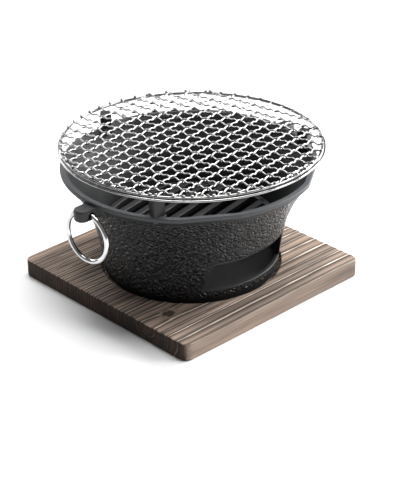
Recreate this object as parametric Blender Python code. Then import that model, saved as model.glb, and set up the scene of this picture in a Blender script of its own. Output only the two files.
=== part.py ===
"""Table-top charcoal hibachi grill: a cast-iron bowl with a draught opening, two ring
handles and three net posts, a loose bar grate for the charcoal, a woven wire net, and
the square wooden board that the bowl's foot sits in.

Units are metres, +Z is up and the origin is the middle of the board's underside. The
draught opening faces -Y, the two lugs with their rings stand out along -X and +X.
"""

import math

import bmesh
import bpy
from mathutils import Matrix, Vector

GAP = 0.0003                       # play left between pieces that rest on each other

# Wooden board
BOARD_SIDE = 0.240
BOARD_THICKNESS = 0.0188
BOARD_CORNER_RADIUS = 0.009
BOARD_EDGE_ROUNDING = 0.0012
RECESS_RADIUS = 0.0903
RECESS_DEPTH = 0.0045

# Cast bowl
BOWL_BOTTOM = BOARD_THICKNESS - RECESS_DEPTH + GAP
FOOT_HEIGHT = 0.0054               # from the underside up to where the flared wall starts
FOOT_RADIUS = 0.0876               # at the start of the flared wall
FOOT_CHAMFER = 0.0030
WALL_TOP = 0.1170                  # where the flared wall meets the rim
WALL_FLARE_EVEN = 0.0130           # part of the flare that grows evenly with height
WALL_FLARE_CUBIC = 0.0200          # part that grows with the cube of the height
WALL_THICKNESS = 0.0045
FLOOR_THICKNESS = 0.0055
FLOOR_FILLET = 0.0045
RIM_TOP = 0.1268
RIM_OUTER_RADIUS = 0.1267
RIM_INNER_RADIUS = 0.1208
RIM_SIDE_HEIGHT = 0.0036
RIM_ROUNDING = 0.0008
LEDGE_INNER_RADIUS = 0.0842
LEDGE_THICKNESS = 0.0055
BOWL_SEGMENTS = 72

# Draught opening: a trapezoid, wider at the bottom
VENT_BOTTOM = 0.0300
VENT_TOP = 0.0610
VENT_HALF_WIDTH_BOTTOM = 0.0528
VENT_HALF_WIDTH_TOP = 0.0450
VENT_CUT_INNER_Y = -0.0600
VENT_CUT_OUTER_Y = -0.1100

# Net posts: square pillars with one corner pointing outwards, 120 degrees apart
POST_COUNT = 3
POST_FIRST_ANGLE = math.radians(-57.5)
POST_SIDE = 0.0114
POST_BOTTOM = 0.1225

# Lugs that carry the ring handles
LUG_TIP_X = 0.1450
LUG_ROOT_X_BOTTOM = 0.1140         # the root slopes out with the wall it is buried in
LUG_ROOT_X_TOP = 0.1215
LUG_FILLET_X_BOTTOM = 0.1190       # where the root fillets run into the wall
LUG_FILLET_X_TOP = 0.1245
LUG_HALF_WIDTH = 0.0080
LUG_ROOT_FILLET = 0.0060
LUG_TOP = 0.1236
LUG_BOTTOM = 0.1115
LUG_DRAFT = 0.0012                 # how much the underside is smaller all round
LUG_HOLE_X = 0.1322
LUG_HOLE_Z = 0.1169
LUG_HOLE_RADIUS = 0.0036

# Ring handles
RING_RADIUS = 0.0255               # of the wire's centre line
RING_WIRE_RADIUS = 0.00235
RING_RISE_IN_HOLE = 0.00075        # the wire's highest point above the hole's axis
RING_YAW = math.radians(5.0)       # each ring hangs a little askew in its hole
RING_SEGMENTS = 40

# Charcoal grate
GRATE_TOP = 0.0620
GRATE_THICKNESS = 0.0060
GRATE_RADIUS = 0.0880
GRATE_HOOP_WIDTH = 0.0062
GRATE_BAR_WIDTH = 0.0076
GRATE_BAR_PITCH = 0.01745
GRATE_BAR_DRAFT = 0.0008           # each side of a bar slopes in this much on the way down
GRATE_SIDE_BARS = 4                # bars on each side of the middle one
GRATE_TURN = math.radians(11.0)

# Woven net: it lies loose on the posts, a little off the bowl's axis and out of level
NET_CENTRE = Vector((0.0022, -0.0010, 0.1470))
NET_FALL_TO_RIGHT = math.radians(0.8)
NET_FALL_TO_BACK = math.radians(0.5)
NET_OUTER_RADIUS = 0.1297
NET_OUTER_WIRE_RADIUS = 0.0011
NET_OUTER_DROP = 0.0024            # the outer ring hangs this far below the mesh, round the posts
NET_INNER_RADIUS = 0.1272
NET_INNER_WIRE_RADIUS = 0.0013
NET_RING_SEGMENTS = 72
MESH_PITCH = 0.0144
MESH_TURN = math.radians(9.0)
MESH_OFFSETS = (-0.0066, -0.0040)  # first wire's distance from the net's centre, each way
MESH_WIRE_HALF = 0.00088
MESH_WAVE = 0.0012                 # the crimp takes each wire this far up and down

COLOURS = {
    "board": (0.27, 0.22, 0.19, 1.0),
    "iron": (0.035, 0.036, 0.038, 1.0),
    "grate_iron": (0.08, 0.08, 0.082, 1.0),
    "steel": (0.80, 0.80, 0.79, 1.0),
    "chrome": (0.85, 0.85, 0.86, 1.0),
}


def clear_scene():
    for obj in list(bpy.data.objects):
        bpy.data.objects.remove(obj, do_unlink=True)


def make_material(name, colour, roughness, metallic):
    material = bpy.data.materials.new(name)
    material.use_nodes = True
    shader = material.node_tree.nodes["Principled BSDF"]
    shader.inputs["Base Color"].default_value = colour
    shader.inputs["Roughness"].default_value = roughness
    shader.inputs["Metallic"].default_value = metallic
    return material


def add_object(name, bm, material=None, location=(0.0, 0.0, 0.0), sharp_angle=math.radians(35)):
    """Turn a bmesh into a smooth-shaded object; location becomes its origin."""
    bmesh.ops.recalc_face_normals(bm, faces=bm.faces)
    bmesh.ops.translate(bm, verts=bm.verts, vec=-Vector(location))
    mesh = bpy.data.meshes.new(name)
    bm.to_mesh(mesh)
    bm.free()
    mesh.shade_smooth()
    mesh.set_sharp_from_angle(angle=sharp_angle)
    if material:
        mesh.materials.append(material)
    obj = bpy.data.objects.new(name, mesh)
    obj.location = location
    bpy.context.scene.collection.objects.link(obj)
    return obj


def hide_as_cutter(obj):
    obj.hide_render = True
    obj.display_type = "WIRE"
    return obj


def add_boolean(target, other, operation):
    modifier = target.modifiers.new(f"{operation.lower()} {other.name}", "BOOLEAN")
    modifier.operation = operation
    modifier.solver = "EXACT"
    modifier.object = hide_as_cutter(other)


def turned(profile, segments):
    """Solid turned about Z from (radius, height) points; the end points lie on the axis."""
    bm = bmesh.new()
    bottom = bm.verts.new((0.0, 0.0, profile[0][1]))
    top = bm.verts.new((0.0, 0.0, profile[-1][1]))
    rows = []
    around = [(math.cos(math.tau * i / segments), math.sin(math.tau * i / segments)) for i in range(segments)]
    for radius, height in profile[1:-1]:
        rows.append([bm.verts.new((radius * x, radius * y, height)) for x, y in around])
    for i in range(segments):
        j = (i + 1) % segments
        bm.faces.new((bottom, rows[0][i], rows[0][j]))
        for low, high in zip(rows, rows[1:]):
            bm.faces.new((low[i], high[i], high[j], low[j]))
        bm.faces.new((rows[-1][i], top, rows[-1][j]))
    return bm


def lofted(outline_low, outline_high, z_low, z_high):
    """Closed solid between two plan outlines that have the same number of points."""
    bm = bmesh.new()
    low = [bm.verts.new((x, y, z_low)) for x, y in outline_low]
    high = [bm.verts.new((x, y, z_high)) for x, y in outline_high]
    bm.faces.new(low)
    bm.faces.new(high)
    for i in range(len(low)):
        j = (i + 1) % len(low)
        bm.faces.new((low[i], low[j], high[j], high[i]))
    return bm


def torus(ring_radius, wire_radius, ring_segments, wire_segments):
    """Round wire ring in the XY plane about the origin."""
    bm = bmesh.new()
    loops = []
    for i in range(ring_segments):
        around = math.tau * i / ring_segments
        loop = []
        for k in range(wire_segments):
            across = math.tau * (k + 0.5) / wire_segments
            radius = ring_radius + wire_radius * math.cos(across)
            point = (radius * math.cos(around), radius * math.sin(around), wire_radius * math.sin(across))
            loop.append(bm.verts.new(point))
        loops.append(loop)
    for i in range(ring_segments):
        this, following = loops[i], loops[(i + 1) % ring_segments]
        for k in range(wire_segments):
            m = (k + 1) % wire_segments
            bm.faces.new((this[k], following[k], following[m], this[m]))
    return bm


def arc(centre, radius, start, end, steps):
    """Points of a plan arc from angle start to angle end."""
    points = []
    for i in range(steps + 1):
        angle = start + (end - start) * i / steps
        points.append((centre[0] + radius * math.cos(angle), centre[1] + radius * math.sin(angle)))
    return points


# --- wooden board -----------------------------------------------------------------


def rounded_square(side, corner_radius, steps=6):
    centre = side / 2 - corner_radius
    outline = []
    for quarter, (sx, sy) in enumerate(((1, 1), (-1, 1), (-1, -1), (1, -1))):
        start = quarter * math.pi / 2
        outline += arc((sx * centre, sy * centre), corner_radius, start, start + math.pi / 2, steps)
    return outline


def build_board(material):
    outline = rounded_square(BOARD_SIDE, BOARD_CORNER_RADIUS)
    board = add_object("base_board", lofted(outline, outline, 0.0, BOARD_THICKNESS), material)
    bevel = board.modifiers.new("rounded edges", "BEVEL")
    bevel.width = BOARD_EDGE_ROUNDING
    bevel.segments = 2
    bevel.limit_method = "ANGLE"
    bevel.angle_limit = math.radians(60)
    floor = BOARD_THICKNESS - RECESS_DEPTH
    profile = [(0.0, floor), (RECESS_RADIUS, floor), (RECESS_RADIUS, BOARD_THICKNESS * 2)]
    profile.append((0.0, BOARD_THICKNESS * 2))
    add_boolean(board, add_object("recess_cutter", turned(profile, BOWL_SEGMENTS)), "DIFFERENCE")


# --- cast bowl ----------------------------------------------------------------------


def wall_radius(z):
    """Outer radius of the flared wall at height z."""
    wall_start = BOWL_BOTTOM + FOOT_HEIGHT
    share = (z - wall_start) / (WALL_TOP - wall_start)
    return FOOT_RADIUS + WALL_FLARE_EVEN * share + WALL_FLARE_CUBIC * share**3


def bowl_profile():
    """Half section of the bowl, from the underside up the outside and down the inside."""
    wall_start = BOWL_BOTTOM + FOOT_HEIGHT
    profile = [(0.0, BOWL_BOTTOM), (FOOT_RADIUS - FOOT_CHAMFER, BOWL_BOTTOM)]
    profile.append((FOOT_RADIUS - FOOT_CHAMFER / 3, BOWL_BOTTOM + FOOT_CHAMFER))
    wall_steps = 8
    for i in range(wall_steps + 1):
        z = wall_start + (WALL_TOP - wall_start) * i / wall_steps
        profile.append((wall_radius(z), z))
    rim_side_bottom = RIM_TOP - RIM_SIDE_HEIGHT
    profile.append((RIM_OUTER_RADIUS - RIM_ROUNDING, rim_side_bottom - RIM_ROUNDING))
    profile.append((RIM_OUTER_RADIUS, rim_side_bottom))
    profile.append((RIM_OUTER_RADIUS, RIM_TOP - RIM_ROUNDING))
    profile.append((RIM_OUTER_RADIUS - RIM_ROUNDING, RIM_TOP))
    profile.append((RIM_INNER_RADIUS + RIM_ROUNDING, RIM_TOP))
    profile.append((RIM_INNER_RADIUS, RIM_TOP - RIM_ROUNDING))
    ledge_top = GRATE_TOP - GRATE_THICKNESS - GAP
    for i in range(wall_steps - 2):
        z = WALL_TOP + (ledge_top - WALL_TOP) * i / (wall_steps - 3)
        profile.append((wall_radius(z) - WALL_THICKNESS, z))
    ledge_bottom = ledge_top - LEDGE_THICKNESS
    profile.append((LEDGE_INNER_RADIUS, ledge_top))
    profile.append((LEDGE_INNER_RADIUS, ledge_bottom))
    floor = BOWL_BOTTOM + FLOOR_THICKNESS
    fillet_start = floor + FLOOR_FILLET
    inner_bottom_radius = wall_radius(fillet_start) - WALL_THICKNESS
    profile.append((inner_bottom_radius, fillet_start))
    for i in range(1, 4):
        angle = math.pi / 2 * i / 3
        radius = inner_bottom_radius - FLOOR_FILLET * (1 - math.cos(angle))
        profile.append((radius, fillet_start - FLOOR_FILLET * math.sin(angle)))
    profile.append((0.0, floor))
    return profile


def vent_cutter():
    """Wedge-shaped prism along Y that opens the front of the wall."""
    bm = bmesh.new()
    corners = (
        (-VENT_HALF_WIDTH_BOTTOM, VENT_BOTTOM),
        (VENT_HALF_WIDTH_BOTTOM, VENT_BOTTOM),
        (VENT_HALF_WIDTH_TOP, VENT_TOP),
        (-VENT_HALF_WIDTH_TOP, VENT_TOP),
    )
    face = bm.faces.new([bm.verts.new((x, VENT_CUT_OUTER_Y, z)) for x, z in corners])
    grown = bmesh.ops.extrude_face_region(bm, geom=[face])
    moved = [v for v in grown["geom"] if isinstance(v, bmesh.types.BMVert)]
    bmesh.ops.translate(bm, verts=moved, vec=(0.0, VENT_CUT_INNER_Y - VENT_CUT_OUTER_Y, 0.0))
    return bm


def net_tilt():
    return Matrix.Rotation(NET_FALL_TO_RIGHT, 4, "Y") @ Matrix.Rotation(-NET_FALL_TO_BACK, 4, "X")


def room_under_net(x, y):
    """Height that leaves the usual play under the lowest crimps of the net above (x, y)."""
    normal = net_tilt() @ Vector((0.0, 0.0, 1.0))
    away = Vector((x, y, 0.0)) - NET_CENTRE.xy.to_3d()
    plane = NET_CENTRE.z - (normal.x * away.x + normal.y * away.y) / normal.z
    return plane - (MESH_WAVE + MESH_WIRE_HALF) / normal.z - GAP


def post(angle):
    """Square pillar on the rim, up to the net, with its outer corner flush with the rim."""
    reach = POST_SIDE / math.sqrt(2)
    outward = Vector((math.sin(angle), -math.cos(angle), 0.0))
    centre = outward * (RIM_OUTER_RADIUS - reach)
    outline = []
    for quarter in range(4):
        corner = Matrix.Rotation(math.pi / 2 * quarter, 4, "Z") @ outward * reach + centre
        outline.append((corner.x, corner.y))
    top = min(room_under_net(x, y) for x, y in outline)
    return lofted(outline, outline, POST_BOTTOM, top)


def lug_outline(inset, root_x, fillet_x):
    """Plan of the left lug: a round-ended tongue with concave fillets at its root."""
    half_width = LUG_HALF_WIDTH - inset
    tip_centre = -LUG_TIP_X + inset + half_width
    fillet_centre = (-fillet_x - LUG_ROOT_FILLET, half_width + LUG_ROOT_FILLET)
    root_edge = half_width + LUG_ROOT_FILLET
    outline = [(-root_x, -root_edge), (-fillet_x, -root_edge)]
    lower = arc((fillet_centre[0], -fillet_centre[1]), LUG_ROOT_FILLET, 0.0, math.pi / 2, 4)
    outline += lower[1:]
    outline += arc((tip_centre, 0.0), half_width, -math.pi / 2, -3 * math.pi / 2, 12)
    upper = arc(fillet_centre, LUG_ROOT_FILLET, -math.pi / 2, 0.0, 4)
    outline += upper[:-1]
    outline += [(-fillet_x, root_edge), (-root_x, root_edge)]
    return outline


def lug(side):
    """Lug on the -X side for side = -1, on the +X side for side = +1."""
    top = lug_outline(0.0, LUG_ROOT_X_TOP, LUG_FILLET_X_TOP)
    bottom = lug_outline(LUG_DRAFT, LUG_ROOT_X_BOTTOM, LUG_FILLET_X_BOTTOM)
    top, bottom = ([(-side * x, y) for x, y in outline] for outline in (top, bottom))
    return lofted(bottom, top, LUG_BOTTOM, LUG_TOP)


def lug_hole_cutter(side):
    """Cylinder along Y through the lug."""
    place = Matrix.Translation((side * LUG_HOLE_X, 0.0, LUG_HOLE_Z))
    bm = bmesh.new()
    bmesh.ops.create_cone(
        bm,
        cap_ends=True,
        segments=24,
        radius1=LUG_HOLE_RADIUS,
        radius2=LUG_HOLE_RADIUS,
        depth=LUG_HALF_WIDTH * 4,
        matrix=place @ Matrix.Rotation(math.pi / 2, 4, "X"),
    )
    return bm


def build_bowl(material):
    bowl = add_object("bowl", turned(bowl_profile(), BOWL_SEGMENTS), material)
    for side, name in ((-1, "left"), (1, "right")):
        add_boolean(bowl, add_object(f"{name}_lug_shape", lug(side)), "UNION")
    for index in range(POST_COUNT):
        angle = POST_FIRST_ANGLE + math.tau * index / POST_COUNT
        add_boolean(bowl, add_object(f"post_shape_{index + 1}", post(angle)), "UNION")
    add_boolean(bowl, add_object("vent_cutter", vent_cutter()), "DIFFERENCE")
    for side, name in ((-1, "left"), (1, "right")):
        add_boolean(bowl, add_object(f"{name}_hole_cutter", lug_hole_cutter(side)), "DIFFERENCE")


# --- ring handles -------------------------------------------------------------------


def build_ring_handle(name, side, material):
    """Wire ring hanging through its lug's hole; the origin is on the swing axis."""
    bm = torus(RING_RADIUS, RING_WIRE_RADIUS, RING_SEGMENTS, 8)
    upright = Matrix.Rotation(math.pi / 2, 4, "Y")
    hang = Matrix.Translation((0.0, 0.0, RING_RISE_IN_HOLE - RING_RADIUS))
    askew = Matrix.Rotation(-side * RING_YAW, 4, "Z")
    place = Matrix.Translation((side * LUG_HOLE_X, 0.0, LUG_HOLE_Z))
    bmesh.ops.transform(bm, matrix=place @ hang @ askew @ upright, verts=bm.verts)
    add_object(name, bm, material, location=(side * LUG_HOLE_X, 0.0, LUG_HOLE_Z))


# --- charcoal grate -----------------------------------------------------------------


def slot_outline(low, high, radius):
    """Plan of a slot between two bars at distances low and high, ending on a circle."""
    low_angle = math.asin(low / radius)
    high_angle = math.asin(high / radius)
    right = arc((0.0, 0.0), radius, low_angle, high_angle, 4)
    left = [(-x, y) for x, y in reversed(right)]
    turn = Matrix.Rotation(GRATE_TURN, 2)
    return [tuple(turn @ Vector(point)) for point in right + left]


def build_grate(material):
    top, bottom = GRATE_TOP, GRATE_TOP - GRATE_THICKNESS
    profile = [(0.0, bottom), (GRATE_RADIUS, bottom), (GRATE_RADIUS, top), (0.0, top)]
    grate = add_object("charcoal_grate", turned(profile, BOWL_SEGMENTS), material)
    radius = GRATE_RADIUS - GRATE_HOOP_WIDTH
    furthest = radius * 0.99
    over = GRATE_THICKNESS / 2
    slots_each_side = GRATE_SIDE_BARS + 1
    for index in range(-slots_each_side, slots_each_side):
        low = max(index * GRATE_BAR_PITCH + GRATE_BAR_WIDTH / 2, -furthest)
        high = min((index + 1) * GRATE_BAR_PITCH - GRATE_BAR_WIDTH / 2, furthest)
        narrow = slot_outline(low, high, radius)
        wide = slot_outline(low - GRATE_BAR_DRAFT, high + GRATE_BAR_DRAFT, radius + GRATE_BAR_DRAFT)
        slot = lofted(wide, narrow, bottom - over, top + over)
        cutter = add_object(f"slot_cutter_{index + slots_each_side + 1}", slot)
        add_boolean(grate, cutter, "DIFFERENCE")


# --- woven net ----------------------------------------------------------------------


def build_net_ring(name, ring_radius, wire_radius, drop, material):
    bm = torus(ring_radius, wire_radius, NET_RING_SEGMENTS, 6)
    lower = Matrix.Translation((0.0, 0.0, -drop))
    bmesh.ops.transform(bm, matrix=Matrix.Translation(NET_CENTRE) @ net_tilt() @ lower, verts=bm.verts)
    add_object(name, bm, material, location=NET_CENTRE)


def lattice(offset, reach):
    """Index and distance of each parallel wire that fits within reach of the centre."""
    count = int(reach / MESH_PITCH) + 1
    places = [(k, offset + k * MESH_PITCH) for k in range(-count, count + 1)]
    return [(k, place) for k, place in places if abs(place) < reach]


def wave_height(x, index, crossing_offset, over_first):
    """Height of a wire's zigzag at x: straight from one crossing's crest to the next's dip."""
    step = (x - crossing_offset) / MESH_PITCH
    k = math.floor(step)
    crest = MESH_WAVE if (index + k) % 2 == over_first else -MESH_WAVE
    return crest * (1.0 - 2.0 * (step - k))


def wire_path(index, place, crossing_offset, over_first, radius):
    """Zigzag centre line along x at distance place, bent where it crosses each wire."""
    half_length = math.sqrt(radius**2 - (abs(place) + MESH_WIRE_HALF) ** 2)
    crossings = [x for _, x in lattice(crossing_offset, half_length - MESH_WIRE_HALF / 2)]
    stops = [-half_length] + crossings + [half_length]
    return [Vector((x, place, wave_height(x, index, crossing_offset, over_first))) for x in stops]


def square_wire(path):
    """Square-section wire along a path that runs along +x and only rises and falls."""
    bm = bmesh.new()
    half = MESH_WIRE_HALF
    loops = []
    for point in path:
        loop = []
        for y, z in ((-half, -half), (half, -half), (half, half), (-half, half)):
            loop.append(bm.verts.new(point + Vector((0.0, y, z))))
        loops.append(loop)
    bm.faces.new(loops[0])
    bm.faces.new(loops[-1])
    for this, following in zip(loops, loops[1:]):
        for k in range(4):
            m = (k + 1) % 4
            bm.faces.new((this[k], following[k], following[m], this[m]))
    return bm


def build_net(material):
    build_net_ring("net_outer_ring", NET_OUTER_RADIUS, NET_OUTER_WIRE_RADIUS, NET_OUTER_DROP, material)
    build_net_ring("net_inner_ring", NET_INNER_RADIUS, NET_INNER_WIRE_RADIUS, 0.0, material)
    radius = NET_INNER_RADIUS - NET_INNER_WIRE_RADIUS - GAP
    place_net = Matrix.Translation(NET_CENTRE) @ net_tilt()
    along_offset, across_offset = MESH_OFFSETS
    families = (
        ("net_wire_along", 0.0, along_offset, across_offset, 0),
        ("net_wire_across", math.pi / 2, across_offset, along_offset, 1),
    )
    for name, quarter, offset, crossing_offset, over_first in families:
        turn = place_net @ Matrix.Rotation(MESH_TURN + quarter, 4, "Z")
        for number, (index, place) in enumerate(lattice(offset, radius - MESH_PITCH / 5), start=1):
            path = wire_path(index, place, crossing_offset, over_first, radius)
            if quarter:
                path = [Vector((p.x, -p.y, p.z)) for p in path]
            bm = square_wire(path)
            bmesh.ops.transform(bm, matrix=turn, verts=bm.verts)
            add_object(f"{name}_{number:02d}", bm, material, location=NET_CENTRE)


def main():
    clear_scene()
    board = make_material("charred_wood", COLOURS["board"], 0.75, 0.0)
    iron = make_material("cast_iron", COLOURS["iron"], 0.62, 0.35)
    grate_iron = make_material("grate_iron", COLOURS["grate_iron"], 0.55, 0.45)
    steel = make_material("net_steel", COLOURS["steel"], 0.28, 1.0)
    chrome = make_material("chrome", COLOURS["chrome"], 0.10, 1.0)
    build_board(board)
    build_bowl(iron)
    build_grate(grate_iron)
    build_ring_handle("ring_handle_left", -1, chrome)
    build_ring_handle("ring_handle_right", 1, chrome)
    build_net(steel)


main()
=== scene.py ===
"""Looks for the table-top hibachi grill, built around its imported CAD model.

Every visible piece is a detailed mesh that stands for one or more CAD nodes and rides on
their body. Units are metres in the row frame: +Z up, the draught opening towards -Y.
"""

import math

import bmesh
import bpy
from mathutils import Matrix, Vector, noise


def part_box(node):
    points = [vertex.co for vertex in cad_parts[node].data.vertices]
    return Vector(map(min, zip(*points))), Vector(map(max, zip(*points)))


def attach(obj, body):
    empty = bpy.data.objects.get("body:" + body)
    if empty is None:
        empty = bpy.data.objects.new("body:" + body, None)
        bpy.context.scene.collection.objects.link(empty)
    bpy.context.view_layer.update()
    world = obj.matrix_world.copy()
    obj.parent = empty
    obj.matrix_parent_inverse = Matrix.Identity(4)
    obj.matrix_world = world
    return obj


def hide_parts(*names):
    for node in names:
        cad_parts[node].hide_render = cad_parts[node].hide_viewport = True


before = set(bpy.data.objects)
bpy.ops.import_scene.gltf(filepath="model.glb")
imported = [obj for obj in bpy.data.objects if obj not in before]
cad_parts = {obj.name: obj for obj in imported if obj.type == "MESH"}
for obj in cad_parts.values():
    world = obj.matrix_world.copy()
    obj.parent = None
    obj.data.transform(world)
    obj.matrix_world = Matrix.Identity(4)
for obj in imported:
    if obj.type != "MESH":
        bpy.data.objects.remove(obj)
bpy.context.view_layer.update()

BOARD_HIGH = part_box("base_board")[1]
BOWL_LOW, BOWL_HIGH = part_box("bowl")
GRATE_LOW, GRATE_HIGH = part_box("charcoal_grate")

# Board
RECESS_RADIUS = 0.0903
RECESS_DEPTH = 0.0045
RECESS_EDGE = 0.0007               # chamfer round the recess
BOARD_CORNER = 0.009
BOARD_ROUNDING = 0.0016
BOARD_VOXEL = 0.0009               # size of the faces that carry the relief
PITH_Y = -0.067                    # the growth rings' centre line runs along X here
PITH_Z = 0.0150
RING_SPACING = 0.0115              # beside the pith
RING_NARROWING = 0.036             # how fast the rings get narrower away from it
RING_BEND = 0.0016                 # slow sideways wander of the rings
RING_RIPPLE = 0.0005               # quick one on top of it
RING_UNEVENNESS = 0.4              # in rings
KNOT = Vector((-0.0905, -0.0660, 0.0))
KNOT_HALF = (0.0105, 0.0062)       # half length and half width of the knot
KNOT_REACH = (0.020, 0.012)        # how far from it the rings still bend round it
KNOT_PUSH = 0.0028                 # how far it pushes them aside
BOARD_RELIEF = 0.00055             # how far the soft wood is brushed out between the lines
RELIEF_LEAD = 0.12                 # share of a ring from the pale line to the soft wood's crest

# Bowl
WALL_START = BOWL_LOW.z + 0.0054
WALL_TOP = 0.1170
WALL_THICKNESS = 0.0045
WALL_FLARE_EVEN = 0.0130           # part of the flare that grows evenly with height
WALL_FLARE_CUBIC = 0.0200          # part that grows with the cube of the height
FOOT_RADIUS = 0.0876
FOOT_FLAT = 0.0300                 # width of the outer faces of the flat underside
FOOT_ROUNDING = 0.0022
RIM_TOP = 0.1268
RIM_OUTER = 0.1267
RIM_INNER = 0.1208
RIM_SIDE = 0.0036
RIM_BEAD = 0.0009                  # small rounding, under the rim and inside it
RIM_ROUNDING = 0.0011              # of the rim's outer edge
FLOOR_TOP = BOWL_LOW.z + 0.0055
FLOOR_FILLET = 0.0045
FLOOR_DISC = 0.040                 # radius of the one flat face in the middle of the floor
LEDGE_INNER = 0.0842
LEDGE_THICKNESS = 0.0055
LEDGE_ROUNDING = 0.0008
VENT_BOTTOM = 0.0300
VENT_TOP = 0.0610
VENT_HALF_BOTTOM = 0.0528
VENT_HALF_TOP = 0.0450
VENT_LIP = 0.0009                  # rounding of the opening's edges
BOWL_COLUMNS = 840
VENT_COLUMNS = 80                  # columns on each side of the middle of the opening
LEAN_REACH = 0.55                  # angle past the opening over which the columns still lean
ROWS_BELOW_VENT = 10
ROWS_ACROSS_VENT = 40
ROWS_ABOVE_VENT = 72
ROWS_INSIDE_ABOVE_VENT = 16
PEBBLE_SIZE = 0.0046
PEBBLE_HEIGHT = 0.0012             # of the casting's pebbles, in the material only
PEBBLE_EDGE = 0.0018               # width over which they fade out round the opening
SWELL_HEIGHT = 0.00022             # of the slow unevenness, in the mesh
SWELL_SCALE = 190.0                # of its noise, per metre

# Posts and lugs
POST_COUNT = 3
POST_FIRST_ANGLE = math.radians(-57.5)
POST_SIDE = 0.0114
POST_ROUNDING = 0.0009
POST_FILLET = 0.0012               # where a post stands on the rim
CAD_WIRE_DROP = 0.0012 + 0.00088   # from the net's middle to the underside of its CAD wires
GAP = 0.0003                       # between pieces that rest on one another
LUG_TIP = BOWL_HIGH.x
LUG_ROOT = 0.1140                  # the root slopes out with the wall that it is buried in
LUG_ROOT_SLOPE = 0.0075            # from the lug's underside to its top
LUG_ROOT_DEPTH = 0.0040            # from the root to where its fillets start
LUG_HALF_WIDTH = 0.0080
LUG_ROOT_FILLET = 0.0060
LUG_TOP = 0.1236
LUG_BOTTOM = 0.1115
LUG_TOP_ROUNDING = 0.0016
LUG_BOTTOM_ROUNDING = 0.0028
LUG_HOLE_X = 0.1322
LUG_HOLE_Z = 0.1169
LUG_HOLE_RADIUS = 0.0036

# Ring handles
HANDLE_RADIUS = 0.0255             # of the wire's centre line
HANDLE_WIRE = 0.00235
HANDLE_RISE = 0.00075              # the wire's highest point above the hole's axis
HANDLE_YAW = math.radians(5.0)     # each ring hangs a little askew in its hole

# Charcoal grate
GRATE_RADIUS = (GRATE_HIGH.x - GRATE_LOW.x) / 2
HOOP_WIDTH = 0.0062
BAR_WIDTH = 0.0076
BAR_PITCH = 0.01745
BAR_DRAFT = 0.0008                 # how much a bar's side leans in towards its underside
BARS_EACH_SIDE = 4
BAR_OVERLAP = 0.0030               # how far the bars run into the hoop
GRATE_TURN = math.radians(11.0)
GRATE_ROUNDING = 0.0010

# Net
NET_CENTRE = Vector((0.0022, -0.0010, 0.1470))
NET_FALL_TO_RIGHT = math.radians(0.8)
NET_FALL_TO_BACK = math.radians(0.5)
OUTER_RING = 0.1297
OUTER_WIRE = 0.0011
OUTER_DROP = 0.0024                # of the outer ring below the middle of the mesh
INNER_RING = 0.1272
INNER_WIRE = 0.0013
MESH_PITCH = 0.0144
MESH_TURN = math.radians(9.0)
MESH_OFFSETS = (-0.0066, -0.0040)  # of the two families' lattices from the net's centre
MESH_WIRE = 0.00098
MESH_WAVE = 0.00027                # the weave's own part of each wire's rise and fall
MESH_CRIMP = 0.00085               # the part of the closer crimp between the crossings
MESH_STEP = 0.0007                 # between the points of a wire's path
WIRE_CLEAR = 0.0002                # between a wire's end and the inner ring that it crosses
WIRE_END_REACH = 0.8               # of the inner ring's wire, past its centre line
WIRE_END_DIP = 0.35                # how much of its height a wire's end loses there
WIRE_RAMP = 0.0030                 # length over which a wire climbs onto the inner ring

# Camera, solved on the photograph
CAMERA_PLACE = Vector((-0.9966, -1.0805, 0.8207))
CAMERA_TURN = (-43.04, 28.354, -0.916)   # azimuth, elevation and roll in degrees
CAMERA_LENS = 119.54


# --- small mesh helpers ----------------------------------------------------------------


def add_piece(name, bm, material, body, nodes, sharp_angle=None):
    """Turn a bmesh into a smooth-shaded piece that rides on body and stands for nodes."""
    mesh = bpy.data.meshes.new(name)
    bm.to_mesh(mesh)
    bm.free()
    mesh.shade_smooth()
    if sharp_angle:
        mesh.set_sharp_from_angle(angle=math.radians(sharp_angle))
    mesh.materials.append(material)
    obj = bpy.data.objects.new(name, mesh)
    bpy.context.scene.collection.objects.link(obj)
    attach(obj, body)
    if nodes:
        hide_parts(*nodes)
    return obj


def apply_modifiers(obj):
    """Bake the object's modifiers into its mesh."""
    evaluated = obj.evaluated_get(bpy.context.evaluated_depsgraph_get())
    mesh = bpy.data.meshes.new_from_object(evaluated)
    obj.modifiers.clear()
    obj.data = mesh


def cutter_object(name, bm):
    """A helper object that is no piece: cut() removes it again."""
    mesh = bpy.data.meshes.new(name)
    bm.to_mesh(mesh)
    bm.free()
    obj = bpy.data.objects.new(name, mesh)
    bpy.context.scene.collection.objects.link(obj)
    return obj


def cut(target, cutter):
    """Take the shape of cutter out of target, then remove cutter."""
    modifier = target.modifiers.new("cut", "BOOLEAN")
    modifier.operation = "DIFFERENCE"
    modifier.solver = "EXACT"
    modifier.object = cutter
    apply_modifiers(target)
    bpy.data.objects.remove(cutter)


def grid_faces(bm, rows, closed):
    """Quads between successive rows of vertices; closed joins each row's ends."""
    for low, high in zip(rows, rows[1:]):
        count = len(low)
        for k in range(count if closed else count - 1):
            m = (k + 1) % count
            bm.faces.new((low[k], low[m], high[m], high[k]))


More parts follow.
